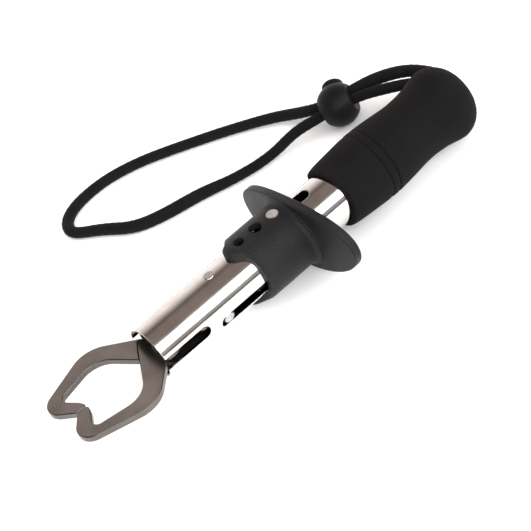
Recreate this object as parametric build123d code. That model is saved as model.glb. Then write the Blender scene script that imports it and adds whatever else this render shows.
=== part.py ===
from build123d import *
import math
import os

# Lip grip (fish-lip gripping tool). Millimetres.
# +X points to the jaws, +Y to the tool's left flank, +Z up. The tool lies on a
# flat surface at Z = 0; the origin is below the middle of its length.
# Stations along the tool ("a") are distances behind the tube's mouth.

# ---------------------------------------------------------------- dimensions
JAW_REACH = 48.3           # mouth of the tube to the front of the closed jaws
BUTT_A = 188.0             # mouth of the tube to the end of the butt
X_MOUTH = (BUTT_A + JAW_REACH) / 2 - JAW_REACH
AXIS_Z = 19.6              # height of the tube's axis above the surface

TUBE_R = 12.7              # tube outer radius
TUBE_WALL = 1.2
TUBE_END_A = 174.0         # rear end of the tube, inside the grip
FRONT_SLOT_W = 6.0         # jaw slots in both flanks, open to the mouth
FRONT_SLOT_END_A = 24.7
PIN_SLOT_W = 6.0          # trigger-pin slots, top and bottom
PIN_SLOT_A = (55.0, 98.4)
GUIDE_SLOT_W = 6.2         # guide slot in the left flank
GUIDE_SLOT_A = (30.4, 66.0)
GUIDE_ANGLE = -16.0        # degrees from +Y towards +Z

JAW_T = 3.2                # jaw plate thickness
JAW_GAP = 0.15             # play between the two half-lapped plates
PIVOT_A = 5.5              # jaw pivot behind the mouth
JAW_HEAD_R = 9.7
JAW_SWING = 23.0           # degrees each jaw opens
PIVOT_D = 4.0
CAM_D = 3.4                # cam pin
CAM_L0 = 7.5               # cam pin behind the pivot, jaws closed
TRAVEL = 12.0              # trigger travel

RIVET_A = 39.3             # rivet that holds the bracket in the tube
RIVET_D = 5.0
BRACKET_Z = (3.9, 5.4)     # bracket cheek, inner and outer distance from the axis
BRACKET_END_A = 67.95      # rear end of the bracket, 0.4 mm clear of the fork at full draw
FORK_Z = (1.75, 3.4)       # fork cheek, inner and outer distance from the axis
GUIDE_PIN_A = 35.2
GUIDE_PIN_D = 5.4
GUIDE_STEM_D = 2.8

ROD_D = 7.0                # draw rod
ROD_TAIL_D = 4.8
TRIGGER_PIN_A = 78.5
TRIGGER_PIN_D = 4.0
TRIGGER_PIN_HEAD_D = 6.2

COLLAR_R = 16.2
COLLAR_BORE_R = TUBE_R + 0.08
COLLAR_TONGUE_A = 50.1
COLLAR_RECESS_A = 57.25
FLANGE_A = (84.2, 88.2)    # front and rear faces at the middle of the flange
FLANGE_Y = 40.6            # half-width of the flange's oval
FLANGE_Z = 19.5            # half-height of the oval
FLANGE_DZ = -0.7           # the oval's centre from the axis
FLANGE_ROLL = 8.7          # degrees the oval is rolled about the axis, +Y end up
FLANGE_SWEEP = 0.0017      # the flange's ends sweep back by this times y squared
FLANGE_RIM_R = 0.75
FLANGE_FLAT = AXIS_Z       # the foot is cut flat where it stands on the surface
COLLAR_HOLES = ((58.6, 5.0), (68.4, 6.2))   # station, diameter

SPRING_A = (88.2, 114.8)
SPRING_R = 4.6             # mean coil radius
SPRING_WIRE = 1.1
SPRING_TURNS = 7.5

GRIP_NOSE_A = 106.6
BUTT_HOLE_R = 5.4          # cord hole in the butt
CORD_D = 4.8
CORD_DZ = 2.45             # half the distance between the two strands

LOCK_R = 10.3              # cord lock: ball radius
LOCK_C = (-157.86, -55.2, 10.3)   # x from the mouth, y, height
LOCK_AXIS = Vector(0.78, -0.57, -0.25).normalized()
LOCK_PLUNGE0 = Vector(-0.554, -0.757, 0.346)
LOCK_PLUNGE = (LOCK_PLUNGE0 - LOCK_AXIS * LOCK_PLUNGE0.dot(LOCK_AXIS)).normalized()
LOCK_FLAT = 7.7            # centre to each end flat
LOCK_HOLE = 1.4            # cord hole above the ball's centre, towards the button

os.makedirs("parts", exist_ok=True)
PARTS = {}


def save(name, shape):
    PARTS[name] = shape
    export_step(shape, f"parts/{name}.step")


# ---------------------------------------------------------------- helpers
def X(a):
    """X of a station a mm behind the mouth."""
    return X_MOUTH - a


def rod(a0, a1, r, y=0.0, z=0.0):
    """Cylinder along the tool from station a0 to a1; y, z from the axis."""
    c = Cylinder(r, abs(a1 - a0))
    return Pos(X((a0 + a1) / 2), y, AXIS_Z + z) * Rot(0, 90, 0) * c


def zpin(a, r, z0, z1, y=0.0):
    """Cylinder along Z at station a; z0, z1 from the axis."""
    return Pos(X(a), y, AXIS_Z + (z0 + z1) / 2) * Cylinder(r, z1 - z0)


def ypin(a, r, y0, y1, z=0.0):
    return Pos(X(a), (y0 + y1) / 2, AXIS_Z + z) * Rot(90, 0, 0) * Cylinder(r, y1 - y0)


def box(a0, a1, y0, y1, z0, z1):
    return Pos(X((a0 + a1) / 2), (y0 + y1) / 2, AXIS_Z + (z0 + z1) / 2) * Box(
        abs(a1 - a0), y1 - y0, z1 - z0)


def zslot(a0, a1, w, z0, z1):
    """Round-ended slot along the tool, cut along Z; a0 and a1 are its ends."""
    s = box(a0 + w / 2, a1 - w / 2, -w / 2, w / 2, z0, z1)
    return s + zpin(a0 + w / 2, w / 2, z0, z1) + zpin(a1 - w / 2, w / 2, z0, z1)


def revolve_profile(pts):
    """Solid of revolution about the tool's axis from (station, radius) points."""
    f = make_face(Polyline(*[(X(a), r) for a, r in pts], close=True))
    s = revolve(f, Axis.X)
    return Pos(0, 0, AXIS_Z) * s


def plate(face, z0, z1):
    """Plate from a face drawn in mouth coordinates (x forward, y)."""
    return Pos(X_MOUTH, 0, AXIS_Z + z0) * extrude(face, z1 - z0)


# ---------------------------------------------------------------- barrel tube
tube = rod(0, TUBE_END_A, TUBE_R) - rod(-1, TUBE_END_A + 1, TUBE_R - TUBE_WALL)
w = FRONT_SLOT_W
slot_f = box(-1, FRONT_SLOT_END_A - w / 2, -20, 20, -w / 2, w / 2)
slot_f += ypin(FRONT_SLOT_END_A - w / 2, w / 2, -20, 20)
tube -= slot_f
tube -= zslot(PIN_SLOT_A[0], PIN_SLOT_A[1], PIN_SLOT_W, -20, 20)
w = GUIDE_SLOT_W
slot_g = box(GUIDE_SLOT_A[0] + w / 2, GUIDE_SLOT_A[1] - w / 2, 2, 20, -w / 2, w / 2)
slot_g += ypin(GUIDE_SLOT_A[0] + w / 2, w / 2, 2, 20)
slot_g += ypin(GUIDE_SLOT_A[1] - w / 2, w / 2, 2, 20)
about_axis = lambda s, deg: Pos(0, 0, AXIS_Z) * Rot(deg, 0, 0) * Pos(0, 0, -AXIS_Z) * s
tube -= about_axis(slot_g, GUIDE_ANGLE)
tube -= zpin(RIVET_A, RIVET_D / 2, -20, 20)
tube -= zpin(118.0, 1.5, -20, 20)
tube -= ypin(166.0, 1.5, -20, 20)
# small edge break at the mouth
mouth_edges = [e for e in tube.edges().filter_by(GeomType.CIRCLE)
               if abs(e.center().X - X_MOUTH) < 0.01 or
               all(abs(v.X - X_MOUTH) < 0.01 for v in e.vertices())]
try:
    t2 = chamfer(mouth_edges, 0.25)
    if t2.is_valid:
        tube = t2
except Exception as exc:
    print("mouth chamfer left out:", exc)
save("barrel_tube", tube)

# ---------------------------------------------------------------- jaws
# The left jaw (+Y tip side). Mouth coordinates, x forward; pivot at (-5.5, 0).
P = (-PIVOT_A, 0.0)
HALF_TIP = 0.15


def rounded(points, radii):
    """Face from a closed corner list, each corner with its own radius."""
    n = len(points)
    segs = []
    ends = []
    for i in range(n):
        p = Vector(*points[i]); a = Vector(*points[i - 1]); b = Vector(*points[(i + 1) % n])
        r = radii[i]
        u = (a - p).normalized(); v = (b - p).normalized()
        ang = math.radians(u.get_angle(v))
        if r <= 0:
            ends.append((p, p, None)); continue
        t = r / math.tan(ang / 2)
        bis = (u + v).normalized()
        c = p + bis * (r / math.sin(ang / 2))
        ends.append((p + u * t, p + v * t, c - bis * r))
    for i in range(n):
        s, e, m = ends[i]
        if m is not None:
            segs.append(ThreePointArc((s.X, s.Y), (m.X, m.Y), (e.X, e.Y)))
        nx = ends[(i + 1) % n][0]
        if (e - nx).length > 1e-4:
            segs.append(Line((e.X, e.Y), (nx.X, nx.Y)))
    return make_face(Wire(segs))


# tangent point of the inner edge on the head circle
inner_far = Vector(17.3, 18.6)
pv = Vector(*P)
dvec = inner_far - pv
alpha = math.acos(JAW_HEAD_R / dvec.length)
base = math.atan2(dvec.Y, dvec.X)
TAN = pv + Vector(math.cos(base - alpha), math.sin(base - alpha)) * JAW_HEAD_R

arm_pts = [
    (-9.0, 3.4),                 # root of the outer edge, inside the head
    (16.3, 27.9),                # outer shoulder
    (53.7, 14.4),                # outer front corner
    (41.2, HALF_TIP),            # tip, front
    (35.6, HALF_TIP),            # tip, rear
    (36.6, 4.2),                 # inside of the nose
    (42.1, 12.9),                # inner nook
    (17.3, 18.6),                # inner corner
    (TAN.X, TAN.Y),              # meets the head circle
    (-5.5, 0.0),
]
arm_rad = [0, 15.0, 7.6, 0.8, 1.2, 8.0, 2.9, 12.0, 0, 0]
arm = rounded(arm_pts, arm_rad)
head = Pos(P[0], P[1]) * Circle(JAW_HEAD_R)


def cam_path(u):
    L = CAM_L0 + u
    f = math.radians(JAW_SWING) * u / TRAVEL
    return (P[0] - L * math.cos(f), P[1] + L * math.sin(f))


arc = ThreePointArc(cam_path(0), cam_path(TRAVEL / 2), cam_path(TRAVEL))
# deviation of the exact cam path from the arc
worst = 0
for k in range(25):
    q = Vector(*cam_path(TRAVEL * k / 24))
    d = min((q - (arc @ (j / 200))).length for j in range(201))
    worst = max(worst, d)
print("cam path to arc, worst mm:", round(worst, 3))
SLOT_W = CAM_D + 0.36
tail = SlotArc(arc, SLOT_W + 3.1)
cam_slot = SlotArc(arc, SLOT_W)
outline = arm + head + tail
bore = Pos(P[0], P[1]) * Circle(PIVOT_D / 2 + 0.05)

# area that the other plate sweeps behind its own inner edge: a disc, a band
# behind the mirrored inner edge, and everything behind the pivot
d_in = (Vector(17.3, 18.6) - TAN).normalized()          # along the inner edge
mTAN = Vector(TAN.X, -TAN.Y); m_d = Vector(d_in.X, -d_in.Y)
nrm = Vector(d_in.Y, -d_in.X)                             # outward of the inner edge
nrm = nrm if nrm.X > 0 else nrm * -1
c_cl = 0.25
lap_disc = Pos(P[0], P[1]) * Circle(JAW_HEAD_R + c_cl)
# for the left jaw (+Y) the other jaw is the right one, whose inner edge runs
# from mTAN towards (17.3, -18.6)
n_r = Vector(nrm.X, -nrm.Y)
p0 = mTAN + n_r * c_cl
p1 = p0 + m_d * 30
lap_band = make_face(Polyline((p0.X, p0.Y), (p1.X, p1.Y), (p1.X - 60, p1.Y - 10), (-60, -30), (-60, 30),
                              (P[0], 30), (P[0], JAW_HEAD_R), close=True))
lap = lap_disc + lap_band

cut2d = bore + cam_slot
left2d = outline - cut2d
z_mid = JAW_GAP / 2
left_full = plate(left2d, -JAW_T / 2, JAW_T / 2)
lap_solid_low = plate(lap, -JAW_T, z_mid)                 # removes the lower half
jaw_left = left_full - lap_solid_low
right_full = mirror(left_full, Plane.XZ)
lap_solid_up = mirror(plate(lap, -z_mid, JAW_T), Plane.XZ)
jaw_right = right_full - lap_solid_up


def biggest(s):
    sol = sorted(s.solids(), key=lambda q: -q.volume)
    if len(sol) > 1:
        print("extra solids dropped:", [round(q.volume, 3) for q in sol[1:]])
    return sol[0]


jaw_left = biggest(jaw_left)
jaw_right = biggest(jaw_right)


def soften(s, zf, r):
    """Break the outline edges of a jaw's outer faces in front of the tube."""
    es = []
    for e in s.edges():
        c = e.center()
        if abs(c.Z - (AXIS_Z + zf)) < 1e-3 and c.X > X_MOUTH + 6.5 and all(
                v.X > X_MOUTH + 5.0 for v in e.vertices()):
            es.append(e)
    for rr in (r, r * 0.6):
        try:
            q = chamfer(es, rr)
            if q.is_valid:
                return q
        except Exception:
            pass
    print("jaw edge break left out")
    return s


for zf in (JAW_T / 2, -JAW_T / 2):
    jaw_left = soften(jaw_left, zf, 0.35)
    jaw_right = soften(jaw_right, zf, 0.35)
save("jaw_left", jaw_left)
save("jaw_right", jaw_right)

# ---------------------------------------------------------------- jaw pivot pin and washers
ppin = zpin(PIVOT_A, PIVOT_D / 2, -6.2, 6.2)
for s in (1, -1):
    zc = 5.4 * s
    ppin += zpin(PIVOT_A, 3.3, min(zc, zc + 0.9 * s), max(zc, zc + 0.9 * s))
save("jaw_pivot_pin", ppin)
washers = []
for s in (1, -1):
    z0, z1 = sorted((1.7 * s, 3.88 * s))
    washers.append(zpin(PIVOT_A, 3.4, z0, z1) - zpin(PIVOT_A, PIVOT_D / 2, z0 - 1, z1 + 1))
save("pivot_washers", Compound(children=[w_.solids()[0] if hasattr(w_, "solids") else w_ for w_ in washers]))

# ---------------------------------------------------------------- bracket
bz0, bz1 = BRACKET_Z
cheek2d = make_face(Polyline((X(2.0), -7.0), (X(2.0), 7.0), (X(5.0), 10.0), (X(22.0), 10.0), (X(27.0), 5.0),
                             (X(BRACKET_END_A), 5.0), (X(BRACKET_END_A), -5.0), (X(27.0), -5.0), (X(22.0), -10.0),
                             (X(5.0), -10.0), close=True))
bracket = Pos(0, 0, AXIS_Z + bz0) * extrude(cheek2d, bz1 - bz0)
bracket += Pos(0, 0, AXIS_Z - bz1) * extrude(cheek2d, bz1 - bz0)
bracket += box(BRACKET_END_A - 1.5, BRACKET_END_A, -5.0, 5.0, -bz1, bz1)
bracket -= rod(60, 70, ROD_D / 2 + 0.4)
bracket -= zpin(PIVOT_A, PIVOT_D / 2, -10, 10)
bracket -= zpin(RIVET_A, RIVET_D / 2, -10, 10)
save("jaw_bracket", bracket)

rivet = zpin(RIVET_A, RIVET_D / 2, -12.85, 12.85)
rivet_caps = rivet.edges().filter_by(GeomType.CIRCLE)
rivet = fillet(rivet_caps, 0.5)
save("bracket_rivet", rivet)
sleeves = []
for s in (1, -1):
    z0, z1 = sorted((bz1 * s, 10.8 * s))
    sleeves.append(zpin(RIVET_A, 3.7, z0, z1) - zpin(RIVET_A, RIVET_D / 2, z0 - 1, z1 + 1))
save("rivet_sleeves", Compound(children=[s_.solids()[0] for s_ in sleeves]))

# ---------------------------------------------------------------- draw fork
fz0, fz1 = FORK_Z
fa0 = PIVOT_A + CAM_L0 - 3.0
fork2d = make_face(Polyline((X(fa0 + 3.0), 3.0), (X(27.0), 5.0), (X(54.0), 5.0), (X(54.0), -5.0),
                            (X(27.0), -5.0), (X(fa0 + 3.0), -3.0), close=True))
fork2d = fork2d + Pos(X(fa0 + 3.0), 0) * Circle(3.0)
fork = Pos(0, 0, AXIS_Z + fz0) * extrude(fork2d, fz1 - fz0)
fork += Pos(0, 0, AXIS_Z - fz1) * extrude(fork2d, fz1 - fz0)
fork += box(46.0, 54.0, -5.0, 5.0, -fz1, fz1)
fork += box(31.0, 54.0, 5.0, 6.6, -fz1, fz1)
fork -= zslot(RIVET_A - TRAVEL - RIVET_D / 2 - 0.35, RIVET_A + RIVET_D / 2 + 0.35, RIVET_D + 0.5, -9, 9)
fork -= zpin(PIVOT_A + CAM_L0, CAM_D / 2, -9, 9)
fork -= rod(47.0, 55.0, 2.5)
fork -= ypin(50.5, 1.0, -9, 9)
gdir = Vector(0, math.cos(math.radians(GUIDE_ANGLE)), math.sin(math.radians(GUIDE_ANGLE)))


def radial_pin(a, r, r0, r1, ang):
    s = ypin(a, r, r0, r1)
    return about_axis(s, ang)


gp_stem = radial_pin(GUIDE_PIN_A, GUIDE_STEM_D / 2, 5.3, 9.0, GUIDE_ANGLE)
fork -= gp_stem
save("draw_fork", biggest(fork))
gp_head = ypin(GUIDE_PIN_A, GUIDE_PIN_D / 2, 7.6, 12.3)
gp_head = fillet(gp_head.edges().filter_by(GeomType.CIRCLE).sort_by(Axis.Y)[-1:], 0.5)
save("guide_pin", biggest(gp_stem + about_axis(gp_head, GUIDE_ANGLE)))

save("cam_pin", zpin(PIVOT_A + CAM_L0, CAM_D / 2, -fz1, fz1))
save("fork_rod_pin", ypin(50.5, 1.0, -5.0, 6.6))

# ---------------------------------------------------------------- draw rod
drod = rod(47.0, 54.0, 2.5) + rod(54.0, 86.0, ROD_D / 2) + rod(86.0, 126.0, ROD_TAIL_D / 2)
drod -= zpin(TRIGGER_PIN_A, TRIGGER_PIN_D / 2, -9, 9)
drod -= ypin(50.5, 1.0, -9, 9)
rod_end = [e for e in drod.edges().filter_by(GeomType.CIRCLE) if abs(e.center().X - X(126.0)) < 0.01]
drod = chamfer(rod_end, 0.6)
save("draw_rod", drod)

# ---------------------------------------------------------------- trigger pin
tp = zpin(TRIGGER_PIN_A, TRIGGER_PIN_D / 2, -15.9, 15.9)
for s in (1, -1):
    z0, z1 = sorted((14.2 * s, 15.9 * s))
    tp += zpin(TRIGGER_PIN_A, TRIGGER_PIN_HEAD_D / 2, z0, z1)
ends = [e for e in tp.edges().filter_by(GeomType.CIRCLE) if abs(abs(e.center().Z - AXIS_Z) - 15.9) < 0.01]
tp = fillet(ends, 0.5)
save("trigger_pin", tp)

# ---------------------------------------------------------------- trigger collar
fl0, fl1 = FLANGE_A
N_SE = 2.1
barrel = rod(COLLAR_TONGUE_A, fl1, COLLAR_R)


def superellipse(a, b, n, count=32):
    pts = []
    for k in range(count):
        t = 2 * math.pi * k / count
        c, s = math.cos(t), math.sin(t)
        pts.append((a * math.copysign(abs(c) ** (2 / n), c), b * math.copysign(abs(s) ** (2 / n), s)))
    return pts


def flange_face(ay, bz):
    """Oval flange outline in the YZ plane, rolled, with its flat foot."""
    pts = superellipse(ay, bz, N_SE)
    sp = Spline(*pts, periodic=True)
    oval = Pos(0, FLANGE_DZ) * Rot(0, 0, FLANGE_ROLL) * make_face(sp)
    return oval & (Pos(0, 50 - FLANGE_FLAT) * Rectangle(200, 100))


def yz_plane(a):
    """Plane across the tool at station a: its x is the tool's Y, its y is Z."""
    return Plane(origin=(X(a), 0, AXIS_Z), x_dir=(0, 1, 0), z_dir=(1, 0, 0))


def swept_slab(a_front, a_rear):
    """Slab between two parallel swept faces, much wider and taller than the flange."""
    w_ = 60.0
    sag = FLANGE_SWEEP * w_ * w_
    front = ThreePointArc((X(a_front + sag), -w_), (X(a_front), 0), (X(a_front + sag), w_))
    rear = ThreePointArc((X(a_rear + sag), w_), (X(a_rear), 0), (X(a_rear + sag), -w_))
    f_ = make_face(Wire([front, Line(front @ 1, rear @ 0), rear, Line(rear @ 1, front @ 0)]))
    return Pos(0, 0, AXIS_Z - 40) * extrude(f_, 80, dir=(0, 0, 1))


flange = extrude(yz_plane(100.0) * flange_face(FLANGE_Y, FLANGE_Z), 30, dir=(1, 0, 0)) & swept_slab(fl0, fl1)
flange = biggest(flange)
rims = [e for e in flange.edges() if e.length > 8.0 and (e @ 0.5).Z > 0.05]
flange = fillet(rims, FLANGE_RIM_R)
flange = biggest(flange)
# root blend between the barrel and the flange, with a small lip where it ends
blend_r = 2.4
blend_pts = [(fl0 - blend_r, COLLAR_R - 1.0)]
for k in range(9):
    t = math.radians(82 * k / 8)
    blend_pts.append((fl0 - 0.15 - blend_r + blend_r * math.sin(t), COLLAR_R + blend_r - blend_r * math.cos(t)))
blend_pts.append((fl0 + 1.0, COLLAR_R + blend_r - 0.25))
blend_pts.append((fl0 + 1.0, COLLAR_R - 1.0))
blend = revolve_profile(blend_pts)
barrel = rod(COLLAR_TONGUE_A - 1.0, fl1, COLLAR_R)
collar = barrel + flange + blend
# front profile: a tongue at the top and the bottom, recesses in the flanks
half = [(0.0, COLLAR_TONGUE_A), (1.6, 50.35), (3.1, 51.1), (4.5, 52.2), (5.7, 53.6), (6.8, 54.9), (8.1, 55.9),
        (9.6, 56.6), (11.4, 57.05), (13.4, COLLAR_RECESS_A), (15.6, COLLAR_RECESS_A)]


def front_cut(back, grow):
    """Cutter in front of the collar's end: back moves it rearward, grow narrows the tongue."""
    pts = [(X(a + back), y - grow if y > 6 else y * (1 - grow / 6)) for y, a in half]
    crv = Spline(*([(x_, -y_) for x_, y_ in reversed(pts[1:])] + pts),
                 tangents=((0, 1), (0, 1)))
    e0 = crv @ 0
    e1 = crv @ 1
    f_ = make_face(Wire([crv, Line((e1.X, e1.Y), (e1.X, 30.0)), Line((e1.X, 30.0), (X(20.0), 30.0)),
                         Line((X(20.0), 30.0), (X(20.0), -30.0)), Line((X(20.0), -30.0), (e0.X, -30.0)),
                         Line((e0.X, -30.0), (e0.X, e0.Y))]))
    return Pos(0, 0, AXIS_Z - 40) * extrude(f_, 80, dir=(0, 0, 1))


collar -= front_cut(0.0, 0.0)
# the outer edge of that end is bevelled
front_edges = []
for e in collar.edges():
    mid = e @ 0.5
    rad = math.hypot(mid.Y, mid.Z - AXIS_Z)
    if abs(rad - COLLAR_R) < 0.02 and mid.X > X(COLLAR_RECESS_A + 0.5) and e.length > 3:
        front_edges.append(e)
print("collar front edges", len(front_edges))
for rr in (1.1, 0.8, 0.5):
    try:
        c2 = chamfer(front_edges, rr)
        if c2.is_valid and len(c2.solids()) == 1:
            collar = c2
            print("collar front bevel", rr)
            break
    except Exception:
        continue
collar -= rod(40, 95, COLLAR_BORE_R)
for a, d in COLLAR_HOLES:
    collar -= zpin(a, d / 2, -20, 20)
collar -= zpin(TRIGGER_PIN_A, TRIGGER_PIN_D / 2, -20, 20)
for s in (1, -1):
    z0, z1 = sorted((14.2 * s, 22.0 * s))
    collar -= zpin(TRIGGER_PIN_A, TRIGGER_PIN_HEAD_D / 2, z0, z1)
save("trigger_collar", biggest(collar))

# ---------------------------------------------------------------- spring and its seats
save("spring_washer", rod(86.2, 88.2, 6.0) - rod(85, 90, ROD_TAIL_D / 2 + 0.0))
pitch = (SPRING_A[1] - SPRING_A[0] - SPRING_WIRE) / SPRING_TURNS
hx = Helix(pitch=pitch, height=pitch * SPRING_TURNS, radius=SPRING_R)
prof_plane = Plane(origin=hx @ 0, z_dir=hx % 0)
coil = sweep(prof_plane * Circle(SPRING_WIRE / 2), path=hx, is_frenet=True)
coil = Pos(X(SPRING_A[0] + SPRING_WIRE / 2), 0, AXIS_Z) * Rot(0, -90, 0) * coil
save("return_spring", coil)

stop = rod(115.0, 121.0, TUBE_R - TUBE_WALL) - rod(114, 122, ROD_TAIL_D / 2 + 0.35)
stop -= zpin(118.0, 1.5, -12, 12)
save("spring_stop", stop)
stop_pins = []
for s in (1, -1):
    z0, z1 = sorted((4.2 * s, (TUBE_R - 0.15) * s))
    stop_pins.append(zpin(118.0, 1.5, z0, z1))
save("stop_pins", Compound(children=[p_.solids()[0] for p_ in stop_pins]))

# ---------------------------------------------------------------- foam grip
profile = [(106.6, 13.6), (106.75, 14.3), (107.2, 14.85), (108.1, 15.3), (109.6, 15.6), (112.5, 15.95),
           (116.0, 16.25), (122.0, 16.7), (127.0, 17.05), (129.6, 17.15)]
groove1, groove2 = 131.2, 135.8
after = [(138.0, 17.05), (142.0, 16.75), (148.5, 16.1), (153.0, 15.65), (157.0, 15.5), (161.0, 15.65),
         (166.0, 16.15), (170.5, 17.1), (173.5, 17.9), (176.0, 18.2)]


def g(a0, r0):
    """A narrow rounded ring groove cut into the foam."""
    return [(a0 - 0.9, r0), (a0 - 0.5, r0 - 0.75), (a0, r0 - 1.05), (a0 + 0.5, r0 - 0.75), (a0 + 0.9, r0)]


outer = profile + g(groove1, 17.2) + [(133.5, 17.25)] + g(groove2, 17.15) + after
butt_r = 12.0
for k in range(1, 10):
    t = math.radians(10 * k)
    outer.append((176.0 + butt_r * math.sin(t), 6.2 + butt_r * math.cos(t)))
fillet_m = 3.0
mouthp = []
for k in range(0, 7):
    t = math.radians(15 * k)
    mouthp.append((188.0 - fillet_m + fillet_m * math.cos(t), BUTT_HOLE_R + fillet_m * (1 - math.sin(t))))
grip_pts = outer[:-1] + [(187.98, BUTT_HOLE_R + 3.3)] + mouthp + [
    (176.2, BUTT_HOLE_R), (176.2, TUBE_R), (GRIP_NOSE_A, TUBE_R)]
grip = revolve_profile(grip_pts)
# the front end is scooped across the sleeve
SCOOP_R = 45.0
scoop_dir = 28.0           # degrees from +Y towards +Z
sc = Pos(X(109.3 - SCOOP_R), 0, AXIS_Z) * Cylinder(SCOOP_R, 60)
sc = about_axis(sc, scoop_dir - 90)
grip -= sc
grip = biggest(grip)
save("foam_grip", grip)

# ---------------------------------------------------------------- butt core, pin and knot
core = rod(160.0, TUBE_END_A, TUBE_R - TUBE_WALL) + rod(TUBE_END_A, 176.2, TUBE_R)
core -= rod(159, 177, BUTT_HOLE_R - 0.1)
core -= ypin(166.0, 1.5, -13, 13)
save("butt_core", core)
core_pins = []
for s in (1, -1):
    y0, y1 = sorted((5.6 * s, (TUBE_R - 0.15) * s))
    core_pins.append(ypin(166.0, 1.5, y0, y1))
save("core_pins", Compound(children=[p_.solids()[0] for p_ in core_pins]))

KNOT_A = (150.0, 159.9)
knot = rod(KNOT_A[0], KNOT_A[1], 8.0)
knot = fillet(knot.edges().filter_by(GeomType.CIRCLE), 2.6)
save("cord_knot", knot)

# ---------------------------------------------------------------- wrist cord
C = Vector(*LOCK_C)
H = C + LOCK_PLUNGE * LOCK_HOLE
u_left = H + LOCK_AXIS * LOCK_FLAT + LOCK_PLUNGE * CORD_DZ
u_right = H - LOCK_AXIS * LOCK_FLAT + LOCK_PLUNGE * CORD_DZ
l_left = H + LOCK_AXIS * LOCK_FLAT - LOCK_PLUNGE * CORD_DZ
l_right = H - LOCK_AXIS * LOCK_FLAT - LOCK_PLUNGE * CORD_DZ
EXT = 2.0
zu, zl = AXIS_Z + CORD_DZ, AXIS_Z - CORD_DZ
route = [
    Vector(-KNOT_A[1], 0.0, zu),
    Vector(-169.5, 0.22, zu + 0.04),
    Vector(-180.4, -0.22, zu),
    Vector(-190.4, 0.0, zu),
    Vector(-191.9, -10.4, zu + 0.1),
    Vector(-190.8, -22.3, zu - 0.2),
    Vector(-186.4, -34.5, 20.2),
    Vector(-178.0, -44.5, 17.6),
    u_right - LOCK_AXIS * EXT,
    u_left + LOCK_AXIS * EXT,
    Vector(-146.7, -72.3, 5.4),
    Vector(-138.7, -86.4, 2.9),
    Vector(-122.5, -101.6, 2.45),
    Vector(-103.7, -114.4, 2.45),
    Vector(-84.1, -125.2, 2.45),
    Vector(-65.7, -130.9, 2.45),
    Vector(-49.3, -130.8, 2.45),
    Vector(-40.0, -126.5, 2.45),
    Vector(-34.6, -119.8, 2.45),
    Vector(-36.5, -112.8, 2.45),
    Vector(-44.1, -104.1, 2.45),
    Vector(-54.3, -93.4, 2.45),
    Vector(-68.1, -85.2, 2.45),
    Vector(-85.1, -78.3, 2.45),
    Vector(-103.3, -72.3, 2.45),
    Vector(-121.1, -67.9, 2.5),
    Vector(-136.1, -64.4, 3.6),
    l_left + LOCK_AXIS * EXT,
    l_right - LOCK_AXIS * EXT,
    Vector(-172.8, -39.4, 12.4),
    Vector(-181.0, -30.4, 11.7),
    Vector(-187.8, -20.8, 13.0),
    Vector(-191.4, -10.4, 15.8),
    Vector(-190.4, 0.0, zl),
    Vector(-180.4, 0.22, zl),
    Vector(-169.5, -0.22, zl - 0.04),
    Vector(-KNOT_A[1], 0.0, zl),
]
route = [Vector(X_MOUTH + p.X, p.Y, p.Z) for p in route]
runs = [(route[i + 1] - route[i]).length for i in range(len(route) - 1)]
radii = []
print("cord corners: run before, run after, turn, radius")
for i in range(1, len(route) - 1):
    u = route[i] - route[i - 1]
    v = route[i + 1] - route[i]
    turn = u.get_angle(v)
    r = 0.45 * min(runs[i - 1], runs[i]) / math.tan(math.radians(turn) / 2)
    radii.append(r)
    ratio = max(runs[i - 1], runs[i]) / min(runs[i - 1], runs[i])
    print(i, [round(c, 1) for c in (route[i].X, route[i].Y, route[i].Z)], round(runs[i - 1], 1), round(runs[i], 1),
          round(turn, 1), round(r, 1), "RATIO" if ratio > 2.05 else "", "TIGHT" if r < 3 * CORD_D else "")
path = FilletPolyline(*route, radius=radii)
print("cord length mm:", round(path.length, 1), "runs added up", round(sum(runs), 1))
start = Plane(origin=path @ 0, z_dir=path % 0)
cord = sweep(start * Circle(CORD_D / 2), path=path)
vol = cord.volume
print("cord volume / section x length:", round(vol / (math.pi * CORD_D ** 2 / 4 * path.length), 4))
print("cord lowest point", round(cord.bounding_box().min.Z, 3))
save("wrist_cord", cord)
print("ROUTE_M = [")
for p in route:
    print(f"    ({p.X / 1000:.5f}, {p.Y / 1000:.5f}, {p.Z / 1000:.5f}),")
print("]")

# ---------------------------------------------------------------- cord lock
Cw = Vector(X_MOUTH + LOCK_C[0], LOCK_C[1], LOCK_C[2])
lock_plane = Plane(origin=Cw, x_dir=LOCK_AXIS, z_dir=LOCK_PLUNGE)   # local x = cord, local z = plunger
RIM = 9.0                  # centre to the flat around the button
BTN_R = 5.2
WELL_R = BTN_R + 0.3
WELL_FLOOR = -7.6
BTN_TOP = 12.3
BTN_BOTTOM = -4.9
BTN_STROKE = 1.5
hole_h = 2 * CORD_DZ + CORD_D + 0.7
hole_w = CORD_D + 0.5
ball = Sphere(LOCK_R)
ball &= Box(2 * LOCK_FLAT, 30, 30)
ball &= Pos(0, 0, RIM - 20) * Box(30, 30, 40)
well = Pos(0, 0, (RIM + 1 + WELL_FLOOR) / 2) * Cylinder(WELL_R, RIM + 1 - WELL_FLOOR)
cord_hole = Rot(0, 90, 0) * (extrude(SlotOverall(hole_h, hole_w), 40, both=True))
body = biggest(ball - well - Pos(0, 0, LOCK_HOLE) * cord_hole)
flat_edges = [e for e in body.edges() if e.geom_type == GeomType.CIRCLE and abs(abs(e.center().X) - LOCK_FLAT) < 0.01
              and e.length > 10]
rim_edges = [e for e in body.edges() if e.geom_type == GeomType.CIRCLE and abs(e.center().Z - RIM) < 0.01]
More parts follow.
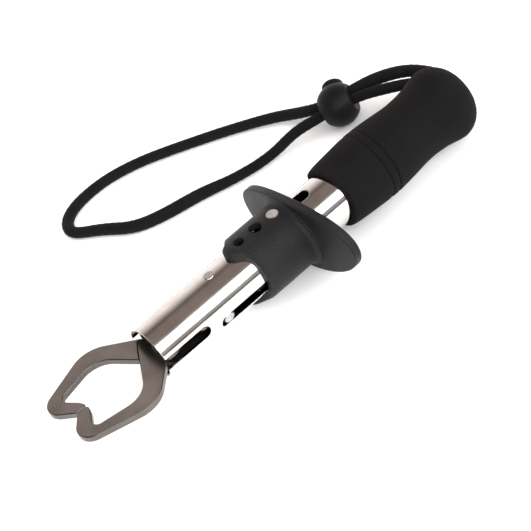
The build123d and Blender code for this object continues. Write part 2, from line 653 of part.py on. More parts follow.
for group, rr in ((flat_edges, 0.6), (rim_edges, 0.3)):
    try:
        b2 = fillet(group, rr)
        if b2.is_valid and len(b2.solids()) == 1:
            body = b2
    except Exception as exc:
        print("lock edge break left out, edges:", len(group))
save("cord_lock_body", lock_plane * body)
# the button has the same hole, longer by its stroke so that it can be pressed
btn = Pos(0, 0, (BTN_TOP + BTN_BOTTOM) / 2) * Cylinder(BTN_R, BTN_TOP - BTN_BOTTOM)
top_edge = [e for e in btn.edges().filter_by(GeomType.CIRCLE) if abs(e.center().Z - BTN_TOP) < 0.01]
btn = fillet(top_edge, 1.6)
btn_hole = Rot(0, 90, 0) * extrude(SlotOverall(hole_h + BTN_STROKE, hole_w), 40, both=True)
btn -= Pos(0, 0, LOCK_HOLE + BTN_STROKE / 2) * btn_hole
print("button solids", [round(s_.volume, 1) for s_ in btn.solids()])
save("cord_lock_button", lock_plane * biggest(btn))
lk_r, lk_w, lk_turns = 4.3, 0.6, 2.25
lk_h = BTN_BOTTOM - WELL_FLOOR - lk_w - 0.1
lk_helix = Helix(pitch=lk_h / lk_turns, height=lk_h, radius=lk_r)
lk = sweep(Plane(origin=lk_helix @ 0, z_dir=lk_helix % 0) * Circle(lk_w / 2), path=lk_helix, is_frenet=True)
save("cord_lock_spring", lock_plane * Pos(0, 0, WELL_FLOOR + lk_w / 2 + 0.05) * lk)
print("lock centre", Cw, "axis", LOCK_AXIS, "plunge", LOCK_PLUNGE)

# ---------------------------------------------------------------- summary
tot = 0
for n_, s_ in PARTS.items():
    bb = s_.bounding_box()
    tot += 1
print("nodes", tot)
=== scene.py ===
import bpy
import bmesh
import math
import numpy as np
from mathutils import Vector, Matrix
from mathutils import noise as mnoise


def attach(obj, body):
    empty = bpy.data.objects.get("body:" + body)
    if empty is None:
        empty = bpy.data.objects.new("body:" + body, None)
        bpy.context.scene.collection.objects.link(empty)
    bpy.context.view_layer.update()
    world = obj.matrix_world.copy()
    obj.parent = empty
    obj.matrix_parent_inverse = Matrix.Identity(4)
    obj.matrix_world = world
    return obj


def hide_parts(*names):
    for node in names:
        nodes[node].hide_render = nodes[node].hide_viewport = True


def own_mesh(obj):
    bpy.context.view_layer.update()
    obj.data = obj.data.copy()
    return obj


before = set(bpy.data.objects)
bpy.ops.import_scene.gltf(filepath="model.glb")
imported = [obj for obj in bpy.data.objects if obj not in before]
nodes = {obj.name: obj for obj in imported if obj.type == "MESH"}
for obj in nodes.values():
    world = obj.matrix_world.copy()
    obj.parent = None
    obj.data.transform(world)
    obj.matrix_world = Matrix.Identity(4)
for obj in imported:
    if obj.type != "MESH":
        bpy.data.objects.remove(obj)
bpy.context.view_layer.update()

# ------------------------------------------------------------------ measures
# metres; "a" is a station behind the tube's mouth, r a distance from its axis
X_MOUTH = 0.06985
AXIS_Z = 0.0196
TUBE_R = 0.0127
CORD_D = 0.0048


def X(a_mm):
    return X_MOUTH - a_mm / 1000.0


# ------------------------------------------------------------------ camera
cam_data = bpy.data.cameras.new("camera")
cam_data.lens = 158.8
cam_data.sensor_width = 36.0
cam_data.clip_start = 0.05
cam_data.clip_end = 20
cam = bpy.data.objects.new("camera", cam_data)
bpy.context.scene.collection.objects.link(cam)
right = Vector((-0.72099, 0.61639, -0.31661))
up = Vector((-0.62055, -0.37099, 0.69086))
back = Vector((0.30839, 0.69457, 0.64998))
rot = Matrix((right, up, back)).transposed().to_4x4()
cam.matrix_world = Matrix.Translation((0.31817, 0.70695, 0.67637)) @ rot
bpy.context.scene.camera = cam
bpy.context.scene.view_settings.view_transform = "Standard"


# ------------------------------------------------------------------ helpers
def link(o):
    bpy.context.scene.collection.objects.link(o)
    return o


def mesh_object(name, verts, faces, smooth=True, loop=None):
    me = bpy.data.meshes.new(name)
    me.from_pydata([tuple(v) for v in verts], [], faces)
    me.validate()
    if smooth:
        me.shade_smooth()
    me.update()
    return link(bpy.data.objects.new(name, me))


def grid_faces(rows, cols, close_cols=True, close_rows=False):
    f = []
    rr = rows if close_rows else rows - 1
    cc = cols if close_cols else cols - 1
    for i in range(rr):
        for j in range(cc):
            a = i * cols + j
            b = i * cols + (j + 1) % cols
            c = ((i + 1) % rows) * cols + (j + 1) % cols
            d = ((i + 1) % rows) * cols + j
            f.append((a, b, c, d))
    return f


def smooth01(x):
    x = np.clip(x, 0, 1)
    return x * x * (3 - 2 * x)


# ------------------------------------------------------------------ wrist cord
ROUTE = [
    (-0.09005, 0.00000, 0.02205),
    (-0.09965, 0.00022, 0.02209),
    (-0.10950, -0.00020, 0.02205),
    (-0.11720, -0.00050, 0.02145),
    (-0.12155, -0.00560, 0.01990),
    (-0.12215, -0.01350, 0.01835),
    (-0.12095, -0.02230, 0.01865),
    (-0.11655, -0.03450, 0.01785),
    (-0.10815, -0.04450, 0.01630),
    (-0.09747, -0.05278, 0.01398),
    (-0.08231, -0.06386, 0.00912),
    (-0.07801, -0.07338, 0.00540),
    (-0.06994, -0.08718, 0.00290),
    (-0.05254, -0.10145, 0.00245),
    (-0.03352, -0.11407, 0.00245),
    (-0.01433, -0.12573, 0.00245),
    (0.00375, -0.13162, 0.00245),
    (0.02061, -0.13129, 0.00245),
    (0.03108, -0.12687, 0.00245),
    (0.03571, -0.11943, 0.00245),
    (0.03418, -0.11354, 0.00245),
    (0.02572, -0.10456, 0.00245),
    (0.01656, -0.09050, 0.00245),
    (0.00258, -0.08375, 0.00245),
    (-0.01555, -0.07903, 0.00245),
    (-0.03285, -0.07109, 0.00245),
    (-0.05143, -0.06704, 0.00250),
    (-0.06711, -0.06596, 0.00560),
    (-0.07992, -0.05989, 0.00753),
    (-0.09508, -0.04881, 0.01239),
    (-0.10295, -0.03940, 0.01450),
    (-0.11115, -0.03040, 0.01530),
    (-0.11795, -0.02080, 0.01520),
    (-0.12170, -0.01320, 0.01330),
    (-0.12120, -0.00560, 0.01415),
    (-0.11710, -0.00040, 0.01620),
    (-0.10950, 0.00020, 0.01705),
    (-0.09965, -0.00022, 0.01711),
    (-0.09005, 0.00000, 0.01715),
]


def nurbs_points(name, pts, resolution=40):
    cu = bpy.data.curves.new(name, "CURVE")
    cu.dimensions = "3D"
    cu.resolution_u = resolution
    sp = cu.splines.new("NURBS")
    sp.points.add(len(pts) - 1)
    for p, q in zip(sp.points, pts):
        p.co = (q[0], q[1], q[2], 1.0)
    sp.order_u = 3
    sp.use_endpoint_u = True
    ob = link(bpy.data.objects.new(name, cu))
    bpy.context.view_layer.update()
    me = bpy.data.meshes.new_from_object(ob)
    co = np.array([v.co for v in me.vertices], float)
    bpy.data.meshes.remove(me)
    bpy.data.objects.remove(ob)
    bpy.data.curves.remove(cu)
    keep = [0]
    for i in range(1, len(co)):
        if np.linalg.norm(co[i] - co[keep[-1]]) > 1e-6:
            keep.append(i)
    return co[keep]


def frames_along(P, up0=(0, 0, 1)):
    """Tangents, and a side and a top vector at each point: the top stays as near to up0 as it can, turned smoothly."""
    T = np.gradient(P, axis=0)
    T /= np.linalg.norm(T, axis=1)[:, None]
    top = np.array(up0, float)
    top = top - T[0] * (top @ T[0])
    top /= np.linalg.norm(top)
    tops = [top]
    for i in range(1, len(P)):
        v = tops[-1] - T[i] * (tops[-1] @ T[i])
        v /= np.linalg.norm(v)
        want = np.array(up0, float) - T[i] * T[i][2]
        w = np.linalg.norm(want)
        if w > 0.3:
            v = v + 0.02 * want / w
            v -= T[i] * (v @ T[i])
            v /= np.linalg.norm(v)
        tops.append(v)
    N = np.array(tops)
    B = np.cross(T, N)
    return T, B, N


cord_line = nurbs_points("cord_route", ROUTE)
seg = np.linalg.norm(np.diff(cord_line, axis=0), axis=1)
S = np.concatenate([[0], np.cumsum(seg)])
cord_length = float(S[-1])


def braided_cord(name, P, S, half_w, half_t, carriers=8, pick=0.00165, relief=0.00016, around=80):
    """A round soft braid: a tube whose surface carries the over-and-under picks of two sets of yarns.
    half_w and half_t are its half width (level) and half thickness (upright) at each point."""
    T, B, N = frames_along(P)
    th = 2 * np.pi * np.arange(around) / around
    n = len(P)
    verts = np.zeros((n, around, 3))
    for i in range(n):
        u = th * carriers / (2 * np.pi) + S[i] / (2 * pick)
        v = th * carriers / (2 * np.pi) - S[i] / (2 * pick)
        fu, fv = u - np.floor(u), v - np.floor(v)
        over = ((np.floor(u) + np.floor(v)).astype(int) % 2) == 0
        pa = np.sqrt(np.clip(1 - (2 * fu - 1) ** 2, 0, 1))
        pb = np.sqrt(np.clip(1 - (2 * fv - 1) ** 2, 0, 1))
        la = np.sin(np.pi * fv) ** 0.7
        lb = np.sin(np.pi * fu) ** 0.7
        h = np.where(over, pa * (0.35 + 0.65 * la), pb * (0.35 + 0.65 * lb))
        a = half_w[i] - relief + relief * h
        b = half_t[i] - relief + relief * h
        verts[i] = P[i] + np.outer(a * np.sin(th), B[i]) + np.outer(b * np.cos(th), N[i])
    # what lies on the surface is pressed flat there
    verts[:, :, 2] = np.maximum(verts[:, :, 2], 0.00004)
    vs = list(verts.reshape(-1, 3))
    faces = grid_faces(n, around)
    faces.append(tuple(range(around)))
    faces.append(tuple((n - 1) * around + j for j in reversed(range(around))))
    o = mesh_object(name, vs, faces)
    return o


# resample the picks evenly: a ring every 0.28 mm of the NURBS line
step = 0.00028
Sn = np.arange(0, cord_length, step)
line = np.stack([np.interp(Sn, S, cord_line[:, k]) for k in range(3)], axis=1)
# limp and soft: along its length it lies wider in places, and it is pinched in the lock
# millimetres: length along the cord, half its level width, half its upright thickness
SPREAD = [(0, 2.40, 2.35), (30, 2.40, 2.30), (45, 2.55, 2.45), (60, 3.20, 2.75), (70, 3.40, 2.90), (80, 3.40, 2.85),
          (88, 3.00, 2.55), (94, 2.40, 2.25), (104, 2.30, 2.20), (110, 2.50, 2.40), (116, 3.00, 2.70), (128, 3.00, 2.65),
          (150, 2.85, 2.42), (184, 2.85, 2.42), (216, 2.90, 2.42), (234, 3.00, 2.50), (248, 3.05, 2.60), (258, 2.95, 2.40),
          (266, 2.95, 2.45), (280, 3.10, 2.75), (295, 3.25, 2.90), (320, 3.30, 2.95), (332, 3.15, 2.75), (341, 2.75, 2.42),
          (362, 2.55, 2.35), (380, 2.70, 2.42), (391, 2.85, 2.55), (397, 2.40, 2.30), (407, 2.35, 2.20), (416, 2.75, 2.35),
          (428, 2.95, 2.45), (440, 3.00, 2.45), (456, 2.75, 2.40), (470, 2.40, 2.30), (520, 2.40, 2.35)]
half_w = np.interp(Sn, [r[0] / 1000 for r in SPREAD], [r[1] / 1000 for r in SPREAD])
half_t = np.interp(Sn, [r[0] / 1000 for r in SPREAD], [r[2] / 1000 for r in SPREAD])
_kk = np.exp(-0.5 * (np.arange(-36, 37) / 12.0) ** 2)
_kk /= _kk.sum()
half_w = np.convolve(np.pad(half_w, 36, mode="edge"), _kk, "valid")
half_t = np.convolve(np.pad(half_t, 36, mode="edge"), _kk, "valid")
cord = braided_cord("wrist_cord_braid", line, Sn, half_w, half_t)
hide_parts("wrist_cord")
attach(cord, "body")


# ------------------------------------------------------------------ foam grip
# millimetres here: a is the station behind the tube's mouth, r the distance from the axis
GRIP_LINE = [(106.6, 13.6), (106.75, 14.3), (107.2, 14.85), (108.1, 15.3), (109.6, 15.6), (112.5, 15.95), (116.0, 16.25),
             (122.0, 16.7), (127.0, 17.05), (129.6, 17.15), (133.5, 17.25), (137.0, 17.1), (142.0, 16.75), (148.5, 16.1),
             (153.0, 15.65), (157.0, 15.5), (161.0, 15.65), (166.0, 16.15), (170.5, 17.1), (173.5, 17.9), (176.0, 18.2)]
GROOVES = (129.9, 134.1)
_ga = np.arange(106.6, 176.001, 0.05)
_gr = np.interp(_ga, [p[0] for p in GRIP_LINE], [p[1] for p in GRIP_LINE])
_k = np.exp(-0.5 * (np.arange(-60, 61) * 0.05 / 1.0) ** 2)
_k /= _k.sum()
_smooth = np.convolve(np.pad(_gr, 60, mode="edge"), _k, "valid")
_w = smooth01((_ga - 109.5) / 3.0) * smooth01((176.0 - _ga) / 2.5)
_gr = _gr * (1 - _w) + _smooth * _w


def grip_r(a):
    return np.interp(a, _ga, _gr)


def groove_depth(a, theta):
    """Two soft ring grooves, fainter over the top where the foam has closed up."""
    d = math.degrees(theta) % 360.0
    if d > 225.0:
        d -= 360.0
    fade = 0.30 + 0.70 * float(smooth01(np.array((112.0 - d) / 45.0)))
    total = 0.0
    for k, g0 in enumerate(GROOVES):
        x = abs(a - g0)
        total += (0.80 if k else 0.72) * math.exp(-(x / 0.62) ** 2) - 0.05 * math.exp(-((x - 1.3) / 0.45) ** 2)
    return total * fade


def grip_nose(theta, r):
    """Station of the scooped front face at an angle round the axis."""
    return 109.3 - 45.0 + math.sqrt(45.0 ** 2 - (r * math.sin(theta - math.radians(28.0))) ** 2)


def foam_grip_mesh(name, around=320):
    stations = np.concatenate([np.arange(113.0, 129.4, 0.4), np.arange(129.5, 137.6, 0.11), np.arange(138.0, 176.0, 0.4)])
    dome = [(176.0 + 12.0 * math.sin(t), 6.2 + 12.0 * math.cos(t)) for t in np.radians(np.arange(0, 79, 2.0))]
    mouth = [(185.0 + 3.0 * math.cos(t), 5.4 + 3.0 * (1 - math.sin(t))) for t in np.radians(np.arange(8, 91, 8.0))]
    inner = [(184.0, 5.4), (180.0, 5.4), (176.3, 5.4), (176.25, 12.72), (150.0, 12.72), (125.0, 12.72)]
    columns = []
    for j in range(around):
        th = 2 * math.pi * j / around
        # the outer edge, where the face meets the outside
        a_e, r_e = 108.0, 15.0
        for _ in range(12):
            a_e = max(grip_nose(th, r_e), 106.62)
            r_e = float(grip_r(a_e))
        rc = 0.42
        pts = []
        for t in np.linspace(0, 1, 9):
            r = 12.74 + (r_e - rc - 12.74) * t
            pts.append((grip_nose(th, r), r, 0.35))
        a_f = grip_nose(th, r_e - rc)
        r_o = float(grip_r(a_f + rc))
        for t in (20, 40, 60, 80):
            t = math.radians(t)
            pts.append((a_f + rc * (1 - math.cos(t)), r_e - rc + (r_o - r_e + rc) * math.sin(t), 0.6))
        for t in np.linspace(0, 1, 12)[:-1]:
            a = a_f + rc + (113.0 - a_f - rc) * t
            pts.append((a, float(grip_r(a)), 1.0))
        pts += [(a, float(grip_r(a)) - groove_depth(a, th), 1.0) for a in stations]
        pts += [(a, r, 1.0) for a, r in dome] + [(a, r, 0.5) for a, r in mouth] + [(a, r, 0.0) for a, r in inner]
        columns.append(pts)
    rows = len(columns[0])
    verts = []
    for i in range(rows):
        for j in range(around):
            th = 2 * math.pi * j / around
            a, r, w = columns[j][i]
            c, q = math.cos(th), math.sin(th)
            if w > 0:
                p = Vector((a, 17.0 * c, 17.0 * q))
                r -= w * (0.035 + 0.030 * mnoise.noise(p * 0.55) + 0.022 * mnoise.noise(p * 2.3))
            verts.append((X(a), r * c / 1000.0, AXIS_Z + r * q / 1000.0))
    faces = []
    for i in range(rows):
        for j in range(around):
            i2, j2 = (i + 1) % rows, (j + 1) % around
            faces.append((i * around + j, i2 * around + j, i2 * around + j2, i * around + j2))
    o = mesh_object(name, verts, faces)
    bm = bmesh.new()
    bm.from_mesh(o.data)
    bmesh.ops.recalc_face_normals(bm, faces=bm.faces)
    bm.to_mesh(o.data)
    bm.free()
    o.data.shade_smooth()
    return o


grip = foam_grip_mesh("foam_grip_sleeve")
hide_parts("foam_grip")
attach(grip, "body")


# ------------------------------------------------------------------ springs
def coil(name, origin, axis, side, length, radius, wire, turns, around=16, per_turn=48):
    """Wire coil along axis from origin, with closed ends; side is where it starts."""
    ax, sd = Vector(axis).normalized(), Vector(side).normalized()
    sd = (sd - ax * sd.dot(ax)).normalized()
    bi = ax.cross(sd)
    n = int(turns * per_turn) + 1
    u = np.linspace(0, 1, n)
    closed = 1.0 / turns * 0.9
    rise = np.clip((u - closed) / (1 - 2 * closed), 0, 1)
    h = wire / 2 + (length - wire) * (0.88 * rise + 0.12 * u)
    ang = 2 * np.pi * turns * u
    P = np.array([Vector(origin) + ax * float(h[k]) + (sd * math.cos(ang[k]) + bi * math.sin(ang[k])) * radius
                  for k in range(n)])
    T = np.gradient(P, axis=0)
    T /= np.linalg.norm(T, axis=1)[:, None]
    verts = []
    for k in range(n):
        rad = np.array(sd * math.cos(ang[k]) + bi * math.sin(ang[k]))
        rad = rad - T[k] * (rad @ T[k])
        rad /= np.linalg.norm(rad)
        b = np.cross(T[k], rad)
        for j in range(around):
            t = 2 * math.pi * j / around
            verts.append(P[k] + (rad * math.cos(t) + b * math.sin(t)) * wire / 2)
    faces = grid_faces(n, around)
    faces.append(tuple(range(around)))
    faces.append(tuple((n - 1) * around + j for j in reversed(range(around))))
    o = mesh_object(name, verts, faces)
    bm = bmesh.new()
    bm.from_mesh(o.data)
    bmesh.ops.recalc_face_normals(bm, faces=bm.faces)
    bm.to_mesh(o.data)
    bm.free()
    o.data.shade_smooth()
    return o


spring = coil("return_spring_coil", (X(114.8), 0, AXIS_Z), (1, 0, 0), (0, 0, 1), 0.0266, 0.0046, 0.0011, 7.5)
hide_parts("return_spring")
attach(spring, "body")
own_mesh(spring)

PLUNGE = Vector((-0.487693, -0.810097, 0.325421))
LOCK_AX = Vector((0.781643, -0.571201, -0.250527))
LOCK_C = Vector((-0.08801, -0.0552, 0.0103))
well = LOCK_C - PLUNGE * 0.0076
lock_spring = coil("cord_lock_spring_coil", well, PLUNGE, LOCK_AX, 0.0026, 0.0043, 0.0006, 2.25)
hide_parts("cord_lock_spring")
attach(lock_spring, "body")
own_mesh(lock_spring)


# ------------------------------------------------------------------ materials
def new_mat(name):
    m = bpy.data.materials.new(name)
    m.use_nodes = True
    nt = m.node_tree
    b = nt.nodes["Principled BSDF"]
    return m, nt, b


def tex_coord(nt):
    return nt.nodes.new("ShaderNodeTexCoord").outputs["Object"]


def mapping(nt, vec, scale=(1, 1, 1), rotation=(0, 0, 0), location=(0, 0, 0)):
    n = nt.nodes.new("ShaderNodeMapping")
    n.inputs["Scale"].default_value = scale
    n.inputs["Rotation"].default_value = rotation
    n.inputs["Location"].default_value = location
    nt.links.new(vec, n.inputs["Vector"])
    return n.outputs["Vector"]


def noise(nt, vec, scale, detail=4.0, rough=0.55, distortion=0.0):
    n = nt.nodes.new("ShaderNodeTexNoise")
    n.inputs["Scale"].default_value = scale
    n.inputs["Detail"].default_value = detail
    n.inputs["Roughness"].default_value = rough
    n.inputs["Distortion"].default_value = distortion
    nt.links.new(vec, n.inputs["Vector"])
    return n.outputs["Fac"]


def voronoi(nt, vec, scale, feature="F1", out="Distance", smooth=None):
    n = nt.nodes.new("ShaderNodeTexVoronoi")
    n.feature = feature
    n.inputs["Scale"].default_value = scale
    nt.links.new(vec, n.inputs["Vector"])
    return n.outputs[out]


def ramp(nt, fac, stops):
    n = nt.nodes.new("ShaderNodeValToRGB")
    el = n.color_ramp.elements
    el[0].position, el[0].color = stops[0][0], (*stops[0][1], 1) if len(stops[0][1]) == 3 else stops[0][1]
    el[1].position, el[1].color = stops[-1][0], (*stops[-1][1], 1) if len(stops[-1][1]) == 3 else stops[-1][1]
    for pos, col in stops[1:-1]:
        e = el.new(pos)
        e.color = (*col, 1) if len(col) == 3 else col
    nt.links.new(fac, n.inputs["Fac"])
    return n.outputs["Color"]


def maths(nt, op, a, b=None, clamp=False):
    n = nt.nodes.new("ShaderNodeMath")
    n.operation = op
    n.use_clamp = clamp
    for i, v in enumerate((a, b)):
        if v is None:
            continue
        if isinstance(v, (int, float)):
            n.inputs[i].default_value = v
        else:
            nt.links.new(v, n.inputs[i])
    return n.outputs["Value"]


def mapr(nt, v, lo, hi, a, b):
    n = nt.nodes.new("ShaderNodeMapRange")
    n.inputs["From Min"].default_value = lo
    n.inputs["From Max"].default_value = hi
    n.inputs["To Min"].default_value = a
    n.inputs["To Max"].default_value = b
    nt.links.new(v, n.inputs["Value"])
    return n.outputs["Result"]


def bump_node(nt, height, strength, distance, normal=None):
    n = nt.nodes.new("ShaderNodeBump")
    n.inputs["Strength"].default_value = strength
    n.inputs["Distance"].default_value = distance
    nt.links.new(height, n.inputs["Height"])
    if normal is not None:
        nt.links.new(normal, n.inputs["Normal"])
    return n.outputs["Normal"]


def soft_edges(nt, radius, samples=4):
    n = nt.nodes.new("ShaderNodeBevel")
    n.samples = samples
    n.inputs["Radius"].default_value = radius
    return n.outputs["Normal"]


def mix_color(nt, fac, a, b):
    n = nt.nodes.new("ShaderNodeMix")
    n.data_type = "RGBA"
    nt.links.new(fac, n.inputs["Factor"])
    for sock, v in ((n.inputs["A"], a), (n.inputs["B"], b)):
        if isinstance(v, tuple):
            sock.default_value = (*v, 1)
        else:
            nt.links.new(v, sock)
    return n.outputs["Result"]


def axis_distance(nt, co):
    """Distance of a point from the tube's axis, in metres."""
    sep = nt.nodes.new("ShaderNodeSeparateXYZ")
    nt.links.new(co, sep.inputs["Vector"])
    y2 = maths(nt, "MULTIPLY", sep.outputs["Y"], sep.outputs["Y"])
    z = maths(nt, "SUBTRACT", sep.outputs["Z"], AXIS_Z)
    return maths(nt, "SQRT", maths(nt, "ADD", y2, maths(nt, "MULTIPLY", z, z)))


def upness(nt):
    """How far a face's own normal points up or down, 0 to 1."""
    g = nt.nodes.new("ShaderNodeNewGeometry")
    sep = nt.nodes.new("ShaderNodeSeparateXYZ")
    nt.links.new(g.outputs["True Normal"], sep.inputs["Vector"])
    return maths(nt, "ABSOLUTE", sep.outputs["Z"])


def give(obj, *mats):
    obj.data.materials.clear()
    for m in mats:
        obj.data.materials.append(m)


# polished stainless tube: drawn lengthwise, faint rubbing marks, painted shade in the bore
def steel_polished():
    m, nt, b = new_mat("polished_stainless")
    co = tex_coord(nt)
    long = mapping(nt, co, scale=(0.02, 1, 1))
    draw = noise(nt, long, 3800, 3, 0.6)
    marks = noise(nt, mapping(nt, co, scale=(1, 1, 1)), 90, 4, 0.6)
    col = ramp(nt, marks, [(0.3, (0.68, 0.655, 0.635)), (0.7, (0.82, 0.795, 0.775))])
    # painted shade: nearer the axis than 12.1 to 12.4 mm, on the bore and the inner part of the slot walls, the colour
    # goes dark to stand in for the shade within the tube
    painted_bore_shade = mapr(nt, axis_distance(nt, co), 0.0121, 0.0124, 1.0, 0.0)
    nt.links.new(mix_color(nt, painted_bore_shade, col, (0.13, 0.135, 0.125)), b.inputs["Base Color"])
    b.inputs["Metallic"].default_value = 1.0
    r = maths(nt, "ADD", mapr(nt, draw, 0.3, 0.7, 0.045, 0.10), mapr(nt, marks, 0.35, 0.75, 0.0, 0.06))
    nt.links.new(r, b.inputs["Roughness"])
    nt.links.new(bump_node(nt, draw, 0.05, 0.00004, soft_edges(nt, 0.00035)), b.inputs["Normal"])
    return m


def steel_satin(name, lo, hi, r0, r1, grain=2600, strength=0.25, edge=0.0, side=None, broad=0.0):
    m, nt, b = new_mat(name)
    co = tex_coord(nt)
    g = noise(nt, co, grain, 3, 0.6)
    blotch = noise(nt, co, 120, 4, 0.55)
    scr = noise(nt, mapping(nt, co, scale=(1, 0.06, 1), rotation=(0, 0, 0.5)), 2600, 2, 0.5)
    mixf = maths(nt, "ADD", maths(nt, "MULTIPLY", g, 0.35), maths(nt, "MULTIPLY", blotch, 0.65))
    if broad:
        wide = noise(nt, co, broad, 2, 0.5)
        mixf = maths(nt, "ADD", maths(nt, "MULTIPLY", mixf, 0.45), maths(nt, "MULTIPLY", wide, 0.55))
    col = ramp(nt, mixf, [(0.3, lo), (0.7, hi)])
    if side is not None:
        up = upness(nt)
        # painted light and shade by how a face is turned: the edge break between top face and flank is painted darker
        # as shade, and the steep flanks get a colour of their own as painted light
        face = mapr(nt, up, 0.86, 0.95, 0.0, 1.0)
        flank = mapr(nt, up, 0.30, 0.52, 1.0, 0.0)
        col = mix_color(nt, face, (0.095, 0.088, 0.085), col)
        painted_flank_light = ramp(nt, mixf, [(0.3, tuple(0.8 * v for v in side)), (0.7, tuple(1.2 * v for v in side))])
        col = mix_color(nt, flank, col, painted_flank_light)
    nt.links.new(col, b.inputs["Base Color"])
    b.inputs["Metallic"].default_value = 1.0
    nt.links.new(mapr(nt, mixf, 0.3, 0.7, r0, r1), b.inputs["Roughness"])
    h = maths(nt, "ADD", g, maths(nt, "MULTIPLY", scr, 0.5))
    nt.links.new(bump_node(nt, h, strength, 0.00004, soft_edges(nt, edge) if edge else None), b.inputs["Normal"])
    return m


def plastic(name, lo, hi, r0, r1, grain=1500, strength=0.35, dist=0.00005, spec=0.5, edge=0.0):
    m, nt, b = new_mat(name)
    co = tex_coord(nt)
    cells = voronoi(nt, co, grain)
    fine = noise(nt, co, grain * 2.2, 3, 0.6)
    blotch = noise(nt, co, 70, 4, 0.6)
    col = ramp(nt, blotch, [(0.3, lo), (0.7, hi)])
    nt.links.new(col, b.inputs["Base Color"])
    nt.links.new(mapr(nt, maths(nt, "ADD", maths(nt, "MULTIPLY", blotch, 0.6), maths(nt, "MULTIPLY", fine, 0.4)),
                      0.3, 0.7, r0, r1), b.inputs["Roughness"])
    b.inputs["Specular IOR Level"].default_value = spec
    h = maths(nt, "ADD", cells, maths(nt, "MULTIPLY", fine, 0.6))
    nt.links.new(bump_node(nt, h, strength, dist, soft_edges(nt, edge) if edge else None), b.inputs["Normal"])
    return m


def foam_mat():
    m, nt, b = new_mat("closed_cell_foam")
    co = tex_coord(nt)
    cells = voronoi(nt, co, 2300)
    pores = voronoi(nt, co, 900)
    fine = noise(nt, co, 4200, 2, 0.5)
    blotch = noise(nt, co, 45, 4, 0.6)
    col = ramp(nt, blotch, [(0.3, (0.0040, 0.0037, 0.0038)), (0.7, (0.0068, 0.0063, 0.0064))])
    nt.links.new(col, b.inputs["Base Color"])
    nt.links.new(mapr(nt, blotch, 0.3, 0.7, 0.80, 0.94), b.inputs["Roughness"])
    b.inputs["Specular IOR Level"].default_value = 0.08
    b.inputs["Sheen Weight"].default_value = 0.012
    b.inputs["Sheen Roughness"].default_value = 0.6
    b.inputs["Sheen Tint"].default_value = (0.7, 0.68, 0.66, 1)
    h = maths(nt, "ADD", maths(nt, "MULTIPLY", cells, 0.8), maths(nt, "ADD", maths(nt, "MULTIPLY", pores, 0.5), maths(nt, "MULTIPLY", fine, 0.3)))
    nt.links.new(bump_node(nt, h, 0.5, 0.00012), b.inputs["Normal"])
    return m


def cord_mat():
    m, nt, b = new_mat("black_braid")
    co = tex_coord(nt)
    fibre = noise(nt, co, 5200, 3, 0.6)
    blotch = noise(nt, co, 160, 4, 0.6)
    col = ramp(nt, maths(nt, "ADD", maths(nt, "MULTIPLY", fibre, 0.6), maths(nt, "MULTIPLY", blotch, 0.4)),
               [(0.3, (0.0022, 0.0020, 0.0021)), (0.72, (0.0066, 0.0062, 0.0064))])
    nt.links.new(col, b.inputs["Base Color"])
    nt.links.new(mapr(nt, fibre, 0.3, 0.7, 0.7, 0.92), b.inputs["Roughness"])
    b.inputs["Specular IOR Level"].default_value = 0.09
    b.inputs["Sheen Weight"].default_value = 0.03
    b.inputs["Sheen Roughness"].default_value = 0.5
    nt.links.new(bump_node(nt, fibre, 0.5, 0.00008), b.inputs["Normal"])
    return m


MAT_TUBE = steel_polished()
# side: the painted light colour given to the jaws' steep flanks
MAT_JAW = steel_satin("satin_jaw_steel", (0.160, 0.143, 0.134), (0.325, 0.292, 0.275), 0.24, 0.34, edge=0.0003,
                      side=(0.155, 0.141, 0.131), broad=38)
MAT_PIN = steel_satin("rough_rivet_steel", (0.30, 0.295, 0.29), (0.86, 0.85, 0.84), 0.18, 0.40, grain=1500, strength=0.9,
                      edge=0.0002)
MAT_DARK = steel_satin("sheet_steel", (0.045, 0.044, 0.042), (0.085, 0.083, 0.080), 0.40, 0.55)
MAT_SPRING = steel_satin("spring_wire", (0.42, 0.42, 0.43), (0.60, 0.60, 0.61), 0.25, 0.38)
MAT_COLLAR = plastic("moulded_collar_black", (0.0068, 0.0068, 0.0079), (0.0112, 0.0111, 0.0125), 0.38, 0.52, grain=1500,
                     strength=1.0, dist=0.00020, spec=0.17, edge=0.0004)
MAT_INNER = plastic("inner_plastic_black", (0.02, 0.02, 0.02), (0.03, 0.03, 0.03), 0.5, 0.65)
MAT_LOCK = plastic("cord_lock_plastic", (0.0050, 0.0048, 0.0050), (0.0084, 0.0080, 0.0084), 0.40, 0.52, grain=2200,
                   strength=0.45, dist=0.00006, spec=0.09, edge=0.0003)
MAT_FOAM = foam_mat()
MAT_CORD = cord_mat()

give(nodes["barrel_tube"], MAT_TUBE)
for n in ("jaw_left", "jaw_right"):
    give(nodes[n], MAT_JAW)
for n in ("jaw_pivot_pin", "pivot_washers", "bracket_rivet", "rivet_sleeves", "guide_pin", "cam_pin", "fork_rod_pin",
          "trigger_pin", "spring_washer", "stop_pins", "core_pins"):
    give(nodes[n], MAT_PIN)
for n in ("jaw_bracket", "draw_fork", "draw_rod"):
    give(nodes[n], MAT_DARK)
give(spring, MAT_SPRING)
give(lock_spring, MAT_SPRING)
give(nodes["trigger_collar"], MAT_COLLAR)
for n in ("spring_stop", "butt_core"):
    give(nodes[n], MAT_INNER)
give(nodes["cord_lock_body"], MAT_LOCK)
give(nodes["cord_lock_button"], MAT_LOCK)
give(grip, MAT_FOAM)
give(nodes["cord_knot"], MAT_CORD)
give(cord, MAT_CORD)

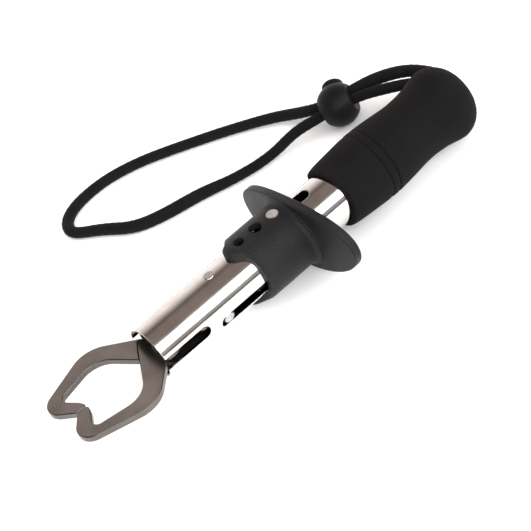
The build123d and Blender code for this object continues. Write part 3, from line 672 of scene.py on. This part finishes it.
# ------------------------------------------------------------------ stage
fm, fnt, fb = new_mat("studio_floor")
fb.inputs["Base Color"].default_value = (0.93, 0.93, 0.93, 1)
fb.inputs["Roughness"].default_value = 0.9
floor = mesh_object("studio_floor", [(-4, -4, -0.0004), (4, -4, -0.0004), (4, 4, -0.0004), (-4, 4, -0.0004)],
                    [(0, 1, 2, 3)], smooth=False)
give(floor, fm)

top = bpy.data.lights.new("overhead_soft", "AREA")
top.shape = "RECTANGLE"
top.size, top.size_y = 3.0, 3.0
top.energy = 40
top.color = (1.0, 0.99, 0.98)
top_ob = link(bpy.data.objects.new("overhead_soft", top))
top_ob.location = (0, -0.2, 1.6)
top_ob.visible_glossy = False
top_ob.visible_camera = False

world = bpy.data.worlds.new("studio")
bpy.context.scene.world = world
world.use_nodes = True
wt = world.node_tree
wdir = wt.nodes.new("ShaderNodeTexCoord").outputs["Generated"]
wsep = wt.nodes.new("ShaderNodeSeparateXYZ")
wt.links.new(wdir, wsep.inputs["Vector"])
wang = maths(wt, "ARCTAN2", wsep.outputs["Z"], wsep.outputs["Y"])
wpos = mapr(wt, wang, -math.pi, math.pi, 0.0, 1.0)
# degrees up from +Y over the top to -Y, and the light there
STUDIO = [(-180, (0.80, 0.76, 0.73)), (-6, (0.40, 0.38, 0.36)), (-1, (0.13, 0.115, 0.105)), (4, (0.13, 0.115, 0.105)),
          (8, (0.36, 0.355, 0.36)), (19, (0.44, 0.435, 0.44)), (24, (6.0, 6.0, 6.0)), (46, (6.0, 6.0, 6.0)),
          (53, (0.42, 0.385, 0.37)), (62, (0.25, 0.205, 0.185)), (84, (0.25, 0.20, 0.175)), (99, (0.23, 0.19, 0.165)),
          (111, (0.14, 0.115, 0.10)), (121, (0.32, 0.28, 0.26)), (133, (0.66, 0.59, 0.55)), (145, (0.95, 0.86, 0.82)),
          (158, (1.20, 1.11, 1.07)), (174, (1.25, 1.17, 1.14)), (180, (0.8, 0.76, 0.73))]
wcol = ramp(wt, wpos, [((d + 180) / 360.0, tuple(v / 6.0 for v in c)) for d, c in STUDIO])
wt.links.new(wcol, wt.nodes["Background"].inputs["Color"])
wt.nodes["Background"].inputs["Strength"].default_value = 6.0
